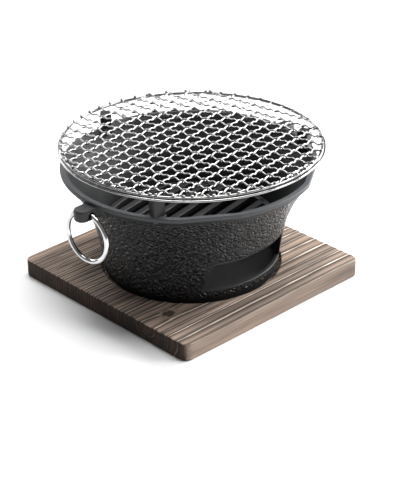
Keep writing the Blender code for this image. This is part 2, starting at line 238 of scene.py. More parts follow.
def lathe(profile, segments, closed_profile=False, start=0.0, sweep=math.tau):
    """Surface turned about Z from (radius, z) points; a zero radius closes it at a pole."""
    bm = bmesh.new()
    full = sweep >= math.tau
    count = segments if full else segments + 1
    angles = [start + sweep * i / segments for i in range(count)]
    rows = []
    for radius, z in profile:
        if radius == 0.0:
            rows.append([bm.verts.new((0.0, 0.0, z))])
        else:
            circle = [(radius * math.cos(a), radius * math.sin(a), z) for a in angles]
            rows.append([bm.verts.new(p) for p in circle])
    pairs = list(zip(rows, rows[1:]))
    if closed_profile:
        pairs.append((rows[-1], rows[0]))
    for low, high in pairs:
        for k in range(count if full else count - 1):
            m = (k + 1) % count
            corners = [low[k % len(low)], low[m % len(low)]]
            corners += [high[m % len(high)], high[k % len(high)]]
            bm.faces.new(list(dict.fromkeys(corners)))   # a pole's corners are one vertex
    if not full:
        bm.faces.new([row[0] for row in rows])
        bm.faces.new([row[-1] for row in rows])
    bmesh.ops.recalc_face_normals(bm, faces=bm.faces)
    return bm


def arc(centre, radius, start, end, steps):
    """Points of an arc in any plane, angles in degrees."""
    points = []
    for i in range(steps + 1):
        angle = math.radians(start + (end - start) * i / steps)
        across, up = radius * math.cos(angle), radius * math.sin(angle)
        points.append((centre[0] + across, centre[1] + up))
    return points


def loft(levels):
    """Closed solid through a list of (outline, z); all outlines have the same point count."""
    bm = bmesh.new()
    rows = [[bm.verts.new((x, y, z)) for x, y in outline] for outline, z in levels]
    grid_faces(bm, rows, closed=True)
    bm.faces.new(rows[0])
    bm.faces.new(rows[-1])
    bmesh.ops.recalc_face_normals(bm, faces=bm.faces)
    return bm


def tube(path, radius, sides, closed=False):
    """Round wire along a list of points, with rounded ends unless it is closed."""
    bm = bmesh.new()
    points = [Vector(p) for p in path]
    count = len(points)
    rows = []
    side = None
    for i, point in enumerate(points):
        before = points[i - 1] if closed or i else points[0]
        after = points[(i + 1) % count] if closed or i < count - 1 else points[-1]
        along = (after - before).normalized()
        if side is None:
            side = along.orthogonal().normalized()
        side = (side - along * side.dot(along)).normalized()
        up = along.cross(side)
        ring = []
        for k in range(sides):
            angle = math.tau * k / sides
            out = side * math.cos(angle) + up * math.sin(angle)
            ring.append(bm.verts.new(point + out * radius))
        rows.append(ring)
    if closed:
        grid_faces(bm, rows + [rows[0]], closed=True)
    else:
        grid_faces(bm, rows, closed=True)
        ends = ((rows[0], points[1], points[0]), (rows[-1], points[-2], points[-1]))
        for row, inner, outer in ends:
            out = (outer - inner).normalized()
            dome = [bm.verts.new(outer + (v.co - outer) * 0.7 + out * radius * 0.5) for v in row]
            grid_faces(bm, [row, dome], closed=True)
            bm.faces.new(dome)
    bmesh.ops.recalc_face_normals(bm, faces=bm.faces)
    return bm


# --- materials ---------------------------------------------------------------------------


class Shade:
    """A node material being built: add() makes a node and wires or sets its inputs."""

    def __init__(self, name, roughness, metallic=0.0, specular=0.5):
        self.material = bpy.data.materials.new(name)
        self.material.use_nodes = True
        self.tree = self.material.node_tree
        self.shader = self.tree.nodes["Principled BSDF"]
        self.shader.inputs["Roughness"].default_value = roughness
        self.shader.inputs["Metallic"].default_value = metallic
        self.shader.inputs["Specular IOR Level"].default_value = specular

    def add(self, kind, output=0, inputs=None, **settings):
        node = self.tree.nodes.new(kind)
        for key, value in settings.items():
            setattr(node, key, value)
        for key, value in (inputs or {}).items():
            self.put(node.inputs[key], value)
        return node.outputs[output]

    def put(self, socket, value):
        if isinstance(value, bpy.types.NodeSocket):
            self.tree.links.new(value, socket)
        else:
            socket.default_value = value

    def set(self, **sockets):
        for key, value in sockets.items():
            self.put(self.shader.inputs[key.replace("_", " ")], value)

    def position(self, scale=(1.0, 1.0, 1.0)):
        place = self.add("ShaderNodeTexCoord", "Object")
        return self.add("ShaderNodeMapping", inputs={"Vector": place, "Scale": scale})

    def noise(self, vector, scale, detail=3.0, roughness=0.5, distortion=0.0):
        inputs = {"Vector": vector, "Scale": scale, "Detail": detail, "Roughness": roughness}
        inputs["Distortion"] = distortion
        return self.add("ShaderNodeTexNoise", "Fac", inputs)

    def math(self, operation, a, b=0.5, c=0.5):
        node = self.tree.nodes.new("ShaderNodeMath")
        node.operation = operation
        for socket, value in zip(node.inputs, (a, b, c)):
            self.put(socket, value)
        return node.outputs[0]

    def span(self, value, low, high, to_low=0.0, to_high=1.0):
        inputs = {"Value": value, "From Min": low, "From Max": high}
        inputs.update({"To Min": to_low, "To Max": to_high})
        return self.add("ShaderNodeMapRange", "Result", inputs)

    def ramp(self, value, stops):
        node = self.tree.nodes.new("ShaderNodeValToRGB")
        self.put(node.inputs[0], value)
        elements = node.color_ramp.elements
        while len(elements) < len(stops):
            elements.new(0.5)
        for element, (place, colour) in zip(elements, stops):
            element.position = place
            element.color = (*colour, 1.0)
        return node.outputs[0]

    def mix(self, factor, a, b, blend="MIX"):
        node = self.tree.nodes.new("ShaderNodeMix")
        node.data_type = "RGBA"
        node.blend_type = blend
        self.put(node.inputs["Factor"], factor)
        self.put(node.inputs["A"], a)
        self.put(node.inputs["B"], b)
        return node.outputs["Result"]

    def bump(self, height, distance, strength=1.0):
        inputs = {"Height": height, "Distance": distance, "Strength": strength}
        self.set(Normal=self.add("ShaderNodeBump", "Normal", inputs))


def grey(value):
    return (value, value, value)


def cast_iron(name, dark, light, roughness, grain, pebbled=False):
    """Black-coated cast iron: faint blotches in colour over a fine casting grain.

    The pebbled kind adds painted light, a paler rim where the top box lights it, and, where the
    mesh says so, the wall's pebbles.
    """
    shade = Shade(name, roughness, specular=0.45)
    place = shade.position()
    blotch = shade.noise(place, 45.0, 4.0)
    colour = shade.ramp(blotch, [(0.30, dark), (0.70, light)])
    fine = shade.noise(place, 1100.0, 2.0, 0.5)
    if pebbled:
        height = shade.add("ShaderNodeSeparateXYZ", "Z", {"Vector": place})
        # Painted light: the rim gets a paler colour, standing in for the top box's light on its
        # upward face.
        rim_bottom = RIM_TOP - RIM_SIDE
        painted_rim_light = shade.span(height, rim_bottom - 0.0010, rim_bottom + 0.0004)
        colour = shade.mix(painted_rim_light, colour, (0.048, 0.051, 0.056, 1.0))
    shade.set(Base_Color=colour)
    if not pebbled:
        shade.set(Roughness=shade.span(fine, 0.3, 0.7, roughness - 0.06, roughness + 0.06))
        shade.bump(fine, grain)
        return shade.material
    # Pebbles are the cells between crooked lines.
    inputs = {"Vector": place, "Scale": 240.0, "Detail": 1.0}
    bend = shade.add("ShaderNodeTexNoise", "Color", inputs)
    inputs = {0: bend, "Scale": 0.0022}
    offset = shade.add("ShaderNodeVectorMath", 0, inputs, operation="SCALE")
    moved = shade.add("ShaderNodeVectorMath", 0, {0: place, 1: offset}, operation="ADD")
    inputs = {"Vector": moved, "Scale": 1.0 / PEBBLE_SIZE}
    cell = shade.add("ShaderNodeTexVoronoi", "Distance", inputs, feature="DISTANCE_TO_EDGE")
    inputs = {"Value": cell, "From Max": 0.34}
    pebble = shade.add("ShaderNodeMapRange", "Result", inputs, interpolation_type="SMOOTHSTEP")
    where = shade.add("ShaderNodeAttribute", "Fac", attribute_name="pebbled")
    relief = shade.math("MULTIPLY", pebble, where)
    rougher_inside = shade.span(where, 0.0, 1.0, roughness + 0.22, roughness)
    shade.set(Roughness=rougher_inside)
    shade.bump(shade.math("MULTIPLY_ADD", fine, grain / PEBBLE_HEIGHT, relief), PEBBLE_HEIGHT)
    return shade.material


def bright_metal(name, colour, roughness, scratch):
    """Plated or drawn wire: nearly even colour, gloss broken by faint handling marks."""
    shade = Shade(name, roughness, metallic=1.0)
    place = shade.position()
    smudge = shade.noise(place, 120.0, 3.0)
    dull = tuple(c * 0.86 for c in colour)
    shade.set(Base_Color=shade.ramp(smudge, [(0.35, dull), (0.60, colour)]))
    shade.set(Roughness=shade.span(smudge, 0.35, 0.65, roughness * 0.7, roughness * 1.5))
    shade.bump(shade.noise(place, 1500.0, 2.0), scratch)
    return shade.material


def charred_wood():
    """Charred and brushed pine: straight pale late-wood lines between brown-grey bands."""
    shade = Shade("charred_pine", 0.70, specular=0.3)
    rings = shade.add("ShaderNodeAttribute", "Fac", attribute_name="ring_count")
    knot = shade.add("ShaderNodeAttribute", "Fac", attribute_name="knot")
    fibre = shade.noise(shade.position((9.0, 700.0, 700.0)), 1.0, 3.0, 0.6)
    streak = shade.noise(shade.position((3.0, 160.0, 160.0)), 1.0, 2.0, 0.5)
    patch = shade.noise(shade.position((5.0, 55.0, 30.0)), 1.0, 3.0)
    count = shade.math("MULTIPLY_ADD", streak, 0.16, rings)
    share = shade.math("FRACT", count)
    number = shade.math("FLOOR", count)
    each = shade.add("ShaderNodeTexWhiteNoise", "Value", {"W": number}, noise_dimensions="1D")
    dark = (0.040, 0.027, 0.020)
    early = (0.160, 0.119, 0.094)
    warm = (0.290, 0.230, 0.190)
    late = (0.72, 0.65, 0.57, 1.0)
    stops = [(0.0, dark), (0.14, early), (0.45, warm), (0.66, early), (0.79, dark), (1.0, dark)]
    wood = shade.ramp(share, stops)
    line = shade.ramp(share, [(0.78, grey(0)), (0.84, grey(1)), (0.92, grey(1)), (0.97, grey(0))])
    geometry = shade.add("ShaderNodeNewGeometry", "Normal")
    split = shade.tree.nodes.new("ShaderNodeSeparateXYZ")
    shade.put(split.inputs[0], geometry)
    end_grain = shade.span(shade.math("ABSOLUTE", split.outputs["X"]), 0.55, 0.85)
    long_side = shade.span(shade.math("ABSOLUTE", split.outputs["Y"]), 0.55, 0.85)
    # The pale lines differ from ring to ring, are worn away in places and faint on the sides.
    strength = shade.math("MULTIPLY", line, shade.span(each, 0.1, 0.8, 0.30, 1.0))
    worn = shade.noise(shade.position((30.0, 140.0, 140.0)), 1.0, 2.0)
    strength = shade.math("MULTIPLY", strength, shade.span(worn, 0.32, 0.60, 0.35, 1.0))
    strength = shade.math("MULTIPLY", strength, shade.span(long_side, 0.0, 1.0, 1.0, 0.25))
    # Painted light: the long sides are lifted towards the warm tone, standing in for the light that
    # falls on the front face.
    wood = shade.mix(shade.math("MULTIPLY", long_side, 0.6), wood, (*warm, 1.0))
    wood = shade.mix(strength, wood, late)
    # Fine fibres, then broad patches of lighter and darker wood, then paler towards the back.
    stops = [(0.32, (0.62, 0.59, 0.57)), (0.52, grey(1)), (0.74, (1.5, 1.46, 1.42))]
    wood = shade.mix(0.7, wood, shade.ramp(fibre, stops), "MULTIPLY")
    stops = [(0.34, (0.48, 0.45, 0.44)), (0.50, (0.90, 0.89, 0.88)), (0.66, (1.38, 1.33, 1.28))]
    wood = shade.mix(1.0, wood, shade.ramp(patch, stops), "MULTIPLY")
    place = shade.tree.nodes.new("ShaderNodeSeparateXYZ")
    shade.put(place.inputs[0], shade.position())
    to_back = shade.math("MULTIPLY_ADD", place.outputs["X"], -0.35, place.outputs["Y"])
    paler = shade.mix(1.0, wood, (1.34, 1.28, 1.24, 1.0), "MULTIPLY")
    wood = shade.mix(shade.span(to_back, -0.11, 0.09), wood, paler)
    # The knot: a warm halo round a dark heart.
    halo = shade.ramp(knot, [(0.02, grey(0)), (0.22, grey(0.8)), (1.0, grey(0.8))])
    wood = shade.mix(halo, wood, (0.250, 0.185, 0.135, 1.0))
    heart = shade.ramp(knot, [(0.40, grey(0)), (0.62, grey(0.85)), (1.0, grey(1))])
    wood = shade.mix(heart, wood, (0.030, 0.020, 0.015, 1.0))
    # The end faces are darkened: partly the darker burnt end grain, partly painted shade for the
    # end that lies in shadow.
    burnt_and_painted_shade = shade.mix(1.0, wood, (0.12, 0.085, 0.062, 1.0), "MULTIPLY")
    wood = shade.mix(end_grain, wood, burnt_and_painted_shade)
    shade.set(Base_Color=wood)
    shade.set(Roughness=shade.span(fibre, 0.3, 0.7, 0.60, 0.80))
    shade.bump(fibre, 0.00018)
    return shade.material


def pale_floor():
    """The studio floor, all but even."""
    shade = Shade("pale_floor", 0.6, specular=0.2)
    speck = shade.noise(shade.position(), 6.0, 2.0)
    shade.set(Base_Color=shade.ramp(speck, [(0.2, grey(0.86)), (0.8, grey(0.88))]))
    return shade.material


# --- board -------------------------------------------------------------------------------


def rounded_square(half, radius, steps=8):
    """Outline of a square of half-width half with its corners rounded."""
    outline = []
    for quarter, (sx, sy) in enumerate(((1, 1), (-1, 1), (-1, -1), (1, -1))):
        centre = (sx * (half - radius), sy * (half - radius))
        outline += arc(centre, radius, 90 * quarter, 90 * quarter + 90, steps)
    return outline


def from_knot(point, reach):
    """Distance from the knot's middle, as a share of reach along and across the grain."""
    return Vector(((point.x - KNOT.x) / reach[0], (point.y - KNOT.y) / reach[1], 0.0)).length


def ring_count(point):
    """How many growth rings lie between the pith and a point of the board."""
    bend = RING_BEND * noise.noise(Vector((point.x * 6.0, 0.3, 0.0)))
    bend += RING_RIPPLE * noise.noise(Vector((point.x * 24.0, 4.0, point.y * 30.0)))
    away = from_knot(point, KNOT_REACH)
    around = math.copysign(KNOT_PUSH, point.y - KNOT.y) * math.exp(-away * away)
    across = Vector((0.0, point.y - PITH_Y - bend + around, point.z - PITH_Z)).length
    count = -math.log(1.0 - RING_NARROWING * across / RING_SPACING) / RING_NARROWING
    uneven = noise.noise(Vector((point.x * 2.0, point.y * 45.0, point.z * 45.0)))
    return count + RING_UNEVENNESS * uneven


def knot_share(point):
    """Highest at the heart of the knot, falling to 0 just past its edge."""
    away = from_knot(point, KNOT_HALF)
    away += 0.55 * noise.noise(point * 200.0)
    return max(0.0, min(1.0, 1.35 - away)) * 0.75


def build_board():
    """Rounded slab with its recess, remeshed evenly, then brushed out along the grain."""
    thickness = BOARD_HIGH.z
    half = BOARD_HIGH.x
    rounding = BOARD_ROUNDING
    levels = []
    for inset, z in arc((rounding, rounding), rounding, 270, 180, 3):
        levels.append((rounded_square(half - inset, BOARD_CORNER - inset), z))
    for inset, z in arc((rounding, thickness - rounding), rounding, 180, 90, 3):
        levels.append((rounded_square(half - inset, BOARD_CORNER - inset), z))
    wood = charred_wood()
    board = add_piece("charred_board", loft(levels), wood, "board", ["base_board"])
    floor = thickness - RECESS_DEPTH
    edge = RECESS_EDGE
    profile = [(0.0, floor), (RECESS_RADIUS, floor), (RECESS_RADIUS, thickness - edge)]
    profile += [(RECESS_RADIUS + edge * 2, thickness + edge), (0.0, thickness + edge)]
    cut(board, cutter_object("recess_cutter", lathe(profile, 256)))
    remesh = board.modifiers.new("even mesh", "REMESH")
    remesh.mode = "VOXEL"
    remesh.voxel_size = BOARD_VOXEL
    apply_modifiers(board)
    mesh = board.data
    mesh.shade_smooth()
    rings = mesh.attributes.new("ring_count", "FLOAT", "POINT")
    knots = mesh.attributes.new("knot", "FLOAT", "POINT")
    normals = [v.normal.copy() for v in mesh.vertices]
    for vertex, normal in zip(mesh.vertices, normals):
        count = ring_count(vertex.co)
        rings.data[vertex.index].value = count
        knots.data[vertex.index].value = knot_share(vertex.co)
        soft = 0.5 - 0.5 * math.cos(math.tau * (count + RELIEF_LEAD))
        if normal.z > -0.5:
            vertex.co -= normal * (BOARD_RELIEF * soft * max(0.15, normal.z))


# --- bowl --------------------------------------------------------------------------------


def wall_radius(z):
    """Outer radius of the flared wall at height z."""
    share = (z - WALL_START) / (WALL_TOP - WALL_START)
    return FOOT_RADIUS + WALL_FLARE_EVEN * share + WALL_FLARE_CUBIC * share**3


def inner_radius(z):
    return wall_radius(z) - WALL_THICKNESS


def vent_half_width(z):
    share = (z - VENT_BOTTOM) / (VENT_TOP - VENT_BOTTOM)
    return VENT_HALF_BOTTOM + (VENT_HALF_TOP - VENT_HALF_BOTTOM) * share


def vent_height(v, offset):
    """Height at share v of the opening grown by offset all round."""
    low = VENT_BOTTOM - offset
    high = VENT_TOP + offset
    return low + (high - low) * v


def vent_edge_angle(z, radius, offset):
    """Angle from straight ahead to the grown opening's side edge."""
    inside = min(max(z, VENT_BOTTOM - VENT_LIP), VENT_TOP + VENT_LIP)
    radius = max(radius, inner_radius(VENT_BOTTOM))
    return math.asin((vent_half_width(inside) + offset) / radius)


def column_angle(k, z, radius):
    """Angle of grid column k; columns near the opening lean so that they follow its sides."""
    plain = math.tau * k / BOWL_COLUMNS
    nominal = math.tau * VENT_COLUMNS / BOWL_COLUMNS
    shift = vent_edge_angle(z, radius, VENT_LIP) - nominal
    away = abs(plain)
    if away <= nominal:
        return plain * (nominal + shift) / nominal
    return plain + math.copysign(shift * max(0.0, 1.0 - (away - nominal) / LEAN_REACH), plain)


def ring_point(radius, angle, z):
    """Point at an angle counted from straight ahead, -Y."""
    return Vector((radius * math.sin(angle), -radius * math.cos(angle), z))


def bowl_rows():
    """(radius, z) along the bowl's section, and the rows that the opening spans.

    The section runs from under the foot up the outside, over the rim and down to the floor.
    """
    # Underside and rounded foot
    rounding = FOOT_ROUNDING
    rows = [(FOOT_RADIUS - FOOT_FLAT, BOWL_LOW.z), (FOOT_RADIUS - 0.0032, BOWL_LOW.z)]
    rows += arc((FOOT_RADIUS - 0.0026, BOWL_LOW.z + rounding), rounding, -80, -10, 5)
    # Outside of the wall
    below, across, above = ROWS_BELOW_VENT, ROWS_ACROSS_VENT, ROWS_ABOVE_VENT
    low, high = VENT_BOTTOM - VENT_LIP, VENT_TOP + VENT_LIP
    for i in range(below):
        z = WALL_START + (low - WALL_START) * i / below
        rows.append((wall_radius(z), z))
    first_outer = len(rows)
    for i in range(across + 1):
        z = vent_height(i / across, VENT_LIP)
        rows.append((wall_radius(z), z))
    for i in range(1, above + 1):
        z = high + (WALL_TOP - high) * i / above
        rows.append((wall_radius(z), z))
    last_outer = first_outer + across
    # Out to the rim, over it and back to the wall
    side_bottom = RIM_TOP - RIM_SIDE
    bead, rounding = RIM_BEAD, RIM_ROUNDING
    rows += [(RIM_OUTER - 0.0030, side_bottom - 0.0036)]
    rows += [(RIM_OUTER - 0.0016, side_bottom - 0.0016)]
    rows += arc((RIM_OUTER - bead, side_bottom + bead * 0.4), bead, -50, 0, 4)
    rows += arc((RIM_OUTER - rounding, RIM_TOP - rounding), rounding, 0, 90, 5)
    rows += [(RIM_OUTER - 0.0030, RIM_TOP)]
    rows += arc((RIM_INNER + bead, RIM_TOP - bead), bead, 90, 180, 4)
    # Inside of the wall, and the floor
    inside = ROWS_INSIDE_ABOVE_VENT
    for i in range(inside):
        z = WALL_TOP + (high - WALL_TOP) * i / inside
        rows.append((inner_radius(z), z))
    first_inner = len(rows)
    for i in range(across + 1):
        z = vent_height(1 - i / across, VENT_LIP)
        rows.append((inner_radius(z), z))
    last_inner = first_inner + across
    fillet = FLOOR_FILLET
    foot = inner_radius(FLOOR_TOP + fillet)
    rows += arc((foot - fillet, FLOOR_TOP + fillet), fillet, 0, -90, 6)
    rows += [(FLOOR_DISC, FLOOR_TOP)]
    return rows, (first_outer, last_outer), (first_inner, last_inner)


def pebble_fade(z, angle, radius):
    """The texture dies away at the foot, the rim and the edges of the opening."""
    fade = min(1.0, (z - WALL_START) / 0.003, (WALL_TOP + 0.002 - z) / 0.003)
    aside = (abs(angle) - vent_edge_angle(z, radius, 0.0)) * radius
    beyond = max(aside, VENT_BOTTOM - z, z - VENT_TOP)
    return max(0.0, min(fade, (beyond - VENT_LIP) / PEBBLE_EDGE))


def vent_ring(path, surface, outward, offset, depth):
    """Loop of points round the opening: offset grows it, depth sinks it into the wall."""
    ring = []
    for u, v in path:
        z = vent_height(v, offset)
        radius = surface(z) - outward * depth
        angle = u * math.asin((vent_half_width(z) + offset) / radius)
        ring.append(ring_point(radius, angle, z))
    return ring


def build_bowl(material):
    """One closed mesh of rows and columns, open at the draught opening, whose edge is bridged."""
    rows, outer_span, inner_span = bowl_rows()
    columns = range(-(BOWL_COLUMNS // 2), BOWL_COLUMNS - BOWL_COLUMNS // 2)
    bm = bmesh.new()
    pebbles = bm.verts.layers.float.new("pebbled")
    grid = []
    wall_end = next(i for i, row in enumerate(rows) if abs(row[1] - WALL_TOP) < 1e-9)
    for index, (radius, z) in enumerate(rows):
        pebbled = outer_span[0] - ROWS_BELOW_VENT < index <= wall_end
        slope = (wall_radius(z + 0.0005) - wall_radius(z - 0.0005)) / 0.001
        line = []
        for k in columns:
            angle = column_angle(k, z, radius)
            point = ring_point(radius, angle, z)
            fade = 0.0
            if pebbled:
                normal = ring_point(1.0, angle, -slope).normalized()
                fade = pebble_fade(z, angle, radius)
                point += normal * (SWELL_HEIGHT * fade * noise.noise(point * SWELL_SCALE))
            vertex = bm.verts.new(point)
            vertex[pebbles] = fade
            line.append(vertex)
        grid.append(line)
    middle = BOWL_COLUMNS // 2
    left, right = middle - VENT_COLUMNS, middle + VENT_COLUMNS
    for index, (low, high) in enumerate(zip(grid, grid[1:])):
        holed = outer_span[0] <= index < outer_span[1] or inner_span[0] <= index < inner_span[1]
        for k in range(BOWL_COLUMNS):
            m = (k + 1) % BOWL_COLUMNS
            if not (holed and left <= k < right):
                bm.faces.new((low[k], low[m], high[m], high[k]))
    bm.faces.new(list(reversed(grid[0])))
    bm.faces.new(grid[-1])
    across = outer_span[1] - outer_span[0]
    path = [(k / VENT_COLUMNS, 0.0) for k in range(-VENT_COLUMNS, VENT_COLUMNS)]
    path += [(1.0, j / across) for j in range(across)]
    path += [(k / VENT_COLUMNS, 1.0) for k in range(VENT_COLUMNS, -VENT_COLUMNS, -1)]
    path += [(-1.0, j / across) for j in range(across, 0, -1)]

    def boundary(bottom_row, step):
        loop = []
        for u, v in path:
            row = grid[bottom_row + step * round(v * across)]
            loop.append(row[middle + round(u * VENT_COLUMNS)])
        return loop

    loops = [boundary(outer_span[0], 1)]
    lip = []
    for turn in (math.radians(a) for a in (22.5, 45, 67.5, 90)):
        lip.append((VENT_LIP * (1 - math.sin(turn)), VENT_LIP * (1 - math.cos(turn))))
    rings = [vent_ring(path, wall_radius, 1, *step) for step in lip]
    for depth in (VENT_LIP * 1.3, WALL_THICKNESS - VENT_LIP * 1.3):
        rings.append(vent_ring(path, wall_radius, 1, 0.0, depth))
    rings += [vent_ring(path, inner_radius, -1, *step) for step in reversed(lip)]
    loops += [[bm.verts.new(p) for p in ring] for ring in rings]
    loops.append(boundary(inner_span[1], -1))
    grid_faces(bm, loops, closed=True)
    bmesh.ops.recalc_face_normals(bm, faces=bm.faces)
    add_piece("bowl_casting", bm, material, "bowl", ["bowl"], 50)


def build_ledge(material):
    """Shelf inside the wall that the grate lies on; it stops at the draught opening."""
    top = GRATE_LOW.z - GAP
    bottom = top - LEDGE_THICKNESS
    rounding = LEDGE_ROUNDING
    buried = 0.001                 # how far the ledge runs into the wall
    profile = [(inner_radius(bottom) + buried, bottom)]
    profile += arc((LEDGE_INNER + rounding, bottom + rounding), rounding, 270, 180, 3)
    profile += arc((LEDGE_INNER + rounding, top - rounding), rounding, 180, 90, 3)
    profile += [(inner_radius(top) + buried, top)]
    half_gap = math.asin(vent_half_width(top) / LEDGE_INNER) + 0.03
    start, sweep = -math.pi / 2 + half_gap, math.tau - 2 * half_gap
    bm = lathe(profile, 180, closed_profile=True, start=start, sweep=sweep)
    add_piece("grate_ledge", bm, material, "bowl", [], 50)


def net_place():
    """Where the net lies: its centre and its slight tilt."""
    lean = Matrix.Rotation(NET_FALL_TO_RIGHT, 4, "Y") @ Matrix.Rotation(-NET_FALL_TO_BACK, 4, "X")
    return Matrix.Translation(NET_CENTRE) @ lean


def post_height(outward, reach):
    """Top of the post on the side outward: just under the net over its lowest corner."""
    normal = net_place().to_3x3() @ Vector((0.0, 0.0, 1.0))
    centre = outward * (RIM_OUTER - reach)
    heights = []
    for turn in (0.0, 90.0, 180.0, 270.0):
        edge = centre + Matrix.Rotation(math.radians(turn), 2) @ outward * reach - NET_CENTRE.xy
        heights.append(NET_CENTRE.z - (normal.x * edge.x + normal.y * edge.y) / normal.z)
    return min(heights) - (CAD_WIRE_DROP + GAP)


def build_posts(material):
    """Square posts on the rim, a corner outwards, each just under the tilted net."""
    reach = POST_SIDE / math.sqrt(2)
    rounding, fillet = POST_ROUNDING, POST_FILLET
    for index in range(POST_COUNT):
        angle = POST_FIRST_ANGLE + math.tau * index / POST_COUNT
        outward = Vector((math.sin(angle), -math.cos(angle)))
        centre = outward * (RIM_OUTER - reach)
        turn = Matrix.Rotation(math.atan2(outward.y, outward.x) + math.pi / 4, 2)
        top = post_height(outward, reach)
        sizes = [(0.0, RIM_TOP - 0.006)]   # (inset, height), from inside the rim to the top
        sizes += [(-fillet + a, RIM_TOP + b) for a, b in arc((0.0, fillet), fillet, 270, 360, 4)]
        sizes += [(0.0, top - rounding)]
        for a, b in arc((0.0, 0.0), rounding, 0, 90, 4):
            sizes.append((rounding - a, top - rounding + b))
        levels = []
        for inset, z in sizes:
            if z <= RIM_TOP + 0.002:
                inset = -abs(inset)        # the fillet only ever widens the post
            outline = rounded_square(POST_SIDE / 2 - inset, rounding + max(0.0, -inset), 4)
            levels.append(([tuple(turn @ Vector(p) + centre) for p in outline], z))
        add_piece(f"net_post_{index + 1}", loft(levels), material, "bowl", [], 50)


def lug_outline(inset, root_x, fillet_x, side):
    """Plan of a lug: a round-ended tongue with concave fillets where it leaves the wall."""
    half_width = LUG_HALF_WIDTH - inset
    tip = LUG_TIP - inset - half_width
    fillet = LUG_ROOT_FILLET
    edge = half_width + fillet
    outline = [(root_x, -edge)]
    outline += arc((fillet_x + fillet, -edge), fillet, 180, 90, 8)
    outline += arc((tip, 0.0), half_width, -90, 90, 24)
    outline += arc((fillet_x + fillet, edge), fillet, 270, 180, 8)
    outline += [(root_x, edge)]
    return [(side * x, y) for x, y in outline]


def build_lug(name, side, material):
    """One lug, rounded above and below, with the hole that its ring hangs in."""
    low, high = LUG_BOTTOM_ROUNDING, LUG_TOP_ROUNDING
    sections = arc((low, LUG_BOTTOM + low), low, 270, 180, 6)
    sections += arc((high, LUG_TOP - high), high, 180, 90, 6)
    levels = []
    for inset, z in sections:
        share = (z - LUG_BOTTOM) / (LUG_TOP - LUG_BOTTOM)
        root = LUG_ROOT + LUG_ROOT_SLOPE * share
        levels.append((lug_outline(inset, root, root + LUG_ROOT_DEPTH, side), z))
    lug = add_piece(name, loft(levels), material, "bowl", [], 40)
    radius, reach = LUG_HOLE_RADIUS, 0.03
    profile = [(0.0, -reach), (radius, -reach), (radius, reach), (0.0, reach)]
    cutter = cutter_object("hole_cutter", lathe(profile, 40))
    place = Matrix.Translation((side * LUG_HOLE_X, 0.0, LUG_HOLE_Z))
    cutter.matrix_world = place @ Matrix.Rotation(math.pi / 2, 4, "X")
    cut(lug, cutter)


def build_handle(name, side, material):
    """A closed ring of wire, hanging through its lug's hole and turned a little askew."""
    count = 120
    centre = Vector((side * LUG_HOLE_X, 0.0, LUG_HOLE_Z + HANDLE_RISE - HANDLE_RADIUS))
    turn = Matrix.Rotation(-side * HANDLE_YAW, 3, "Z")
    path = []
    for i in range(count):
        angle = math.tau * i / count
        path.append(centre + turn @ Vector((0.0, math.cos(angle), math.sin(angle))) * HANDLE_RADIUS)
    body = name.replace("handle_", "")
    bm = tube(path, HANDLE_WIRE, 20, closed=True)
    add_piece(f"{name}_wire", bm, material, body, [name])


# --- charcoal grate ----------------------------------------------------------------------


def build_grate(material):
    """A hoop and straight bars that run into it, both narrower below."""
    top, bottom = GRATE_HIGH.z, GRATE_LOW.z
    inner = GRATE_RADIUS - HOOP_WIDTH
    round_ = GRATE_ROUNDING
    profile = [(inner - BAR_DRAFT + 0.001, bottom), (GRATE_RADIUS - 0.0005, bottom)]
    profile += arc((GRATE_RADIUS - round_, top - round_), round_, 0, 90, 4)
    profile += arc((inner + round_, top - round_), round_, 90, 180, 4)
    bm = lathe(profile, 180, closed_profile=True)
    reach = inner + BAR_OVERLAP
    for index in range(-BARS_EACH_SIDE, BARS_EACH_SIDE + 1):
        place = index * BAR_PITCH
        half = BAR_WIDTH / 2
        section = [(-half + BAR_DRAFT, bottom)]
        section += arc((-half + round_, top - round_), round_, 180, 90, 4)
        section += arc((half - round_, top - round_), round_, 90, 0, 4)
        section += [(half - BAR_DRAFT, bottom)]
        rows = []
        for end in (-1, 1):
            row = []
            for y, z in section:
                x = end * math.sqrt(reach**2 - (place + y) ** 2)
                row.append(bm.verts.new((x, place + y, z)))
            rows.append(row)
        grid_faces(bm, rows, closed=True)
        bm.faces.new(rows[0])
        bm.faces.new(rows[-1])
    bmesh.ops.recalc_face_normals(bm, faces=bm.faces)
    bmesh.ops.transform(bm, matrix=Matrix.Rotation(GRATE_TURN, 4, "Z"), verts=bm.verts)
    add_piece("bar_grate", bm, material, "grate", ["charcoal_grate"], 50)


# --- net ---------------------------------------------------------------------------------


def build_net_ring(name, radius, wire, drop, node, material):
    """One ring of the net, drop below the middle of the mesh."""
    count = 240
    place = net_place()
    path = []
    for i in range(count):
        angle = math.tau * i / count
        path.append(place @ Vector((radius * math.cos(angle), radius * math.sin(angle), -drop)))
    add_piece(name, tube(path, wire, 14, closed=True), material, "net", [node])


def lattice(offset, reach):
    """Index and place of each wire of one family that lies within reach."""
    count = int(reach / MESH_PITCH) + 1
    places = [(k, offset + k * MESH_PITCH) for k in range(-count, count + 1)]
    return [(k, place) for k, place in places if abs(place) < reach]


